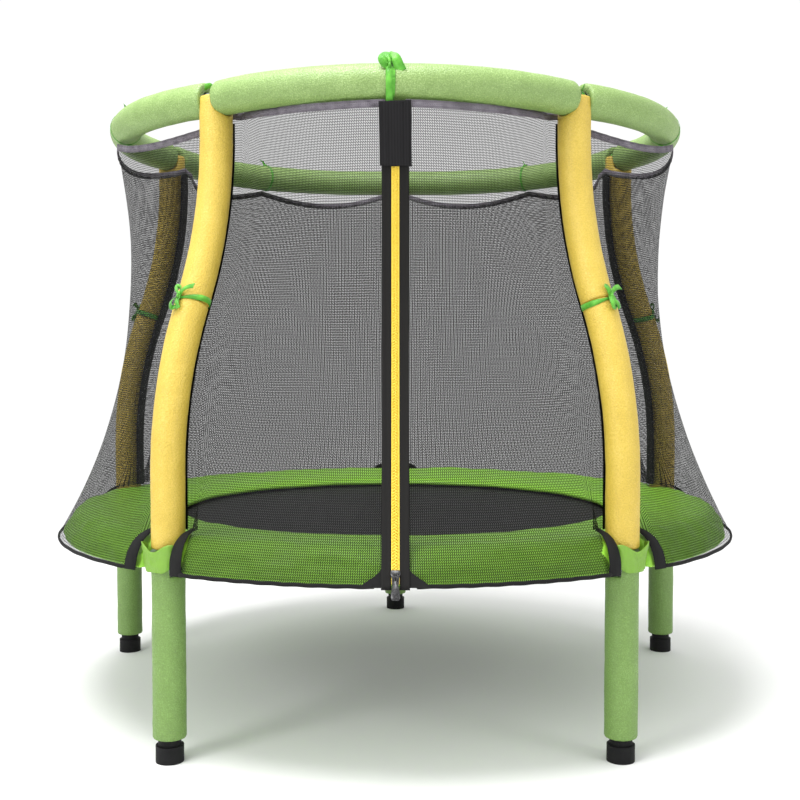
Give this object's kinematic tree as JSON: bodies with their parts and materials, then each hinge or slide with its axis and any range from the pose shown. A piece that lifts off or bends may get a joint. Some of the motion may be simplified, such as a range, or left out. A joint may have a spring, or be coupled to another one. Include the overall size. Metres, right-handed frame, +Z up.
{
  "type": "children's trampoline with safety net",
  "caption": "Small round trampoline on foam-covered legs with bent poles, a padded top ring and a black net enclosure with a front zip.",
  "frame": {"origin": "point on the ground under the centre of the base ring, midway between the feet", "axes": "+Z up; -Y is the front, where the zip is; +X is to the right seen from the front"},
  "size_m": [1.3978, 1.4109, 1.1877],
  "materials": {
    "foot_rubber": "matte",
    "galvanised_steel": "satin",
    "fastener_steel": "satin",
    "spring_steel": "satin",
    "leg_foam": "matte",
    "pole_foam": "matte",
    "ring_foam": "matte",
    "mat_fabric": "matte",
    "pad_fabric": "satin",
    "pocket_fabric": "satin",
    "net_mesh": "matte",
    "black_webbing": "matte",
    "zip_tape": "matte",
    "zip_coil": "satin",
    "zip_metal": "satin",
    "flap_fabric": "matte",
    "ribbon_satin": "satin"
  },
  "bodies": {
    "frame_and_net": {"foot_caps": "foot_rubber", "leg_tubes": "galvanised_steel", "pole_lower_tubes": "galvanised_steel", "pole_upper_tubes": "galvanised_steel", "pole_couplers": "galvanised_steel", "pole_top_joints": "galvanised_steel", "ring_tubes": "galvanised_steel", "frame_joint_1": "galvanised_steel", "frame_joint_2": "galvanised_steel", "frame_joint_3": "galvanised_steel", "frame_joint_4": "galvanised_steel", "frame_joint_5": "galvanised_steel", "frame_tube_1": "galvanised_steel", "frame_tube_2": "galvanised_steel", "frame_tube_3": "galvanised_steel", "frame_tube_4": "galvanised_steel", "frame_tube_5": "galvanised_steel", "joint_bolts": "fastener_steel", "frame_screws": "fastener_steel", "springs": "spring_steel", "leg_sleeve_1": "leg_foam", "leg_sleeve_2": "leg_foam", "leg_sleeve_3": "leg_foam", "leg_sleeve_4": "leg_foam", "leg_sleeve_5": "leg_foam", "pole_sleeve_lower_1": "pole_foam", "pole_sleeve_lower_2": "pole_foam", "pole_sleeve_lower_3": "pole_foam", "pole_sleeve_lower_4": "pole_foam", "pole_sleeve_lower_5": "pole_foam", "pole_sleeve_upper_1": "pole_foam", "pole_sleeve_upper_2": "pole_foam", "pole_sleeve_upper_3": "pole_foam", "pole_sleeve_upper_4": "pole_foam", "pole_sleeve_upper_5": "pole_foam", "ring_sleeve_1": "ring_foam", "ring_sleeve_2": "ring_foam", "ring_sleeve_3": "ring_foam", "ring_sleeve_4": "ring_foam", "ring_sleeve_5": "ring_foam", "spring_pad": "pad_fabric", "pole_pockets": "pocket_fabric", "net_right": "net_mesh", "net_back_right": "net_mesh", "net_back_left": "net_mesh", "net_left": "net_mesh", "net_front_left": "net_mesh", "net_front_right": "net_mesh", "net_elastic": "black_webbing", "pole_webbing": "black_webbing", "pad_straps": "black_webbing", "zip_tapes": "zip_tape", "zip_coil": "zip_coil", "pole_ribbons": "ribbon_satin", "ring_ribbons": "ribbon_satin"},
    "mat": {"mat": "mat_fabric", "mat_rings": "spring_steel"},
    "zip_slider": {"zip_slider": "zip_metal"},
    "zip_pull": {"zip_pull": "zip_metal"},
    "zip_flap": {"zip_flap": "flap_fabric"}
  },
  "joints": [
    {"name": "mat_bounce", "type": "slide", "parent": "frame_and_net", "child": "mat", "axis": [0, 0, 1], "range_m": [-0.15, 0], "stiffness_N_per_m": 3500, "springref_m": 0.01, "deforming": ["springs"]},
    {"name": "zip_slide", "type": "hinge", "parent": "frame_and_net", "child": "zip_slider", "pos_m": [0, -1.6, 0.871], "axis": [1, 0, 0], "range_deg": [0, 35.8]},
    {"name": "zip_pull_swing", "type": "hinge", "parent": "zip_slider", "child": "zip_pull", "pos_m": [0, -0.7025, 0.34953], "axis": [-1, 0, 0], "range_deg": [0, 150]},
    {"name": "flap_open", "type": "hinge", "parent": "frame_and_net", "child": "zip_flap", "pos_m": [-0.0265, -0.575, 1.05567], "axis": [0, 0.1773, -0.9842], "range_deg": [0, 150]}
  ]
}
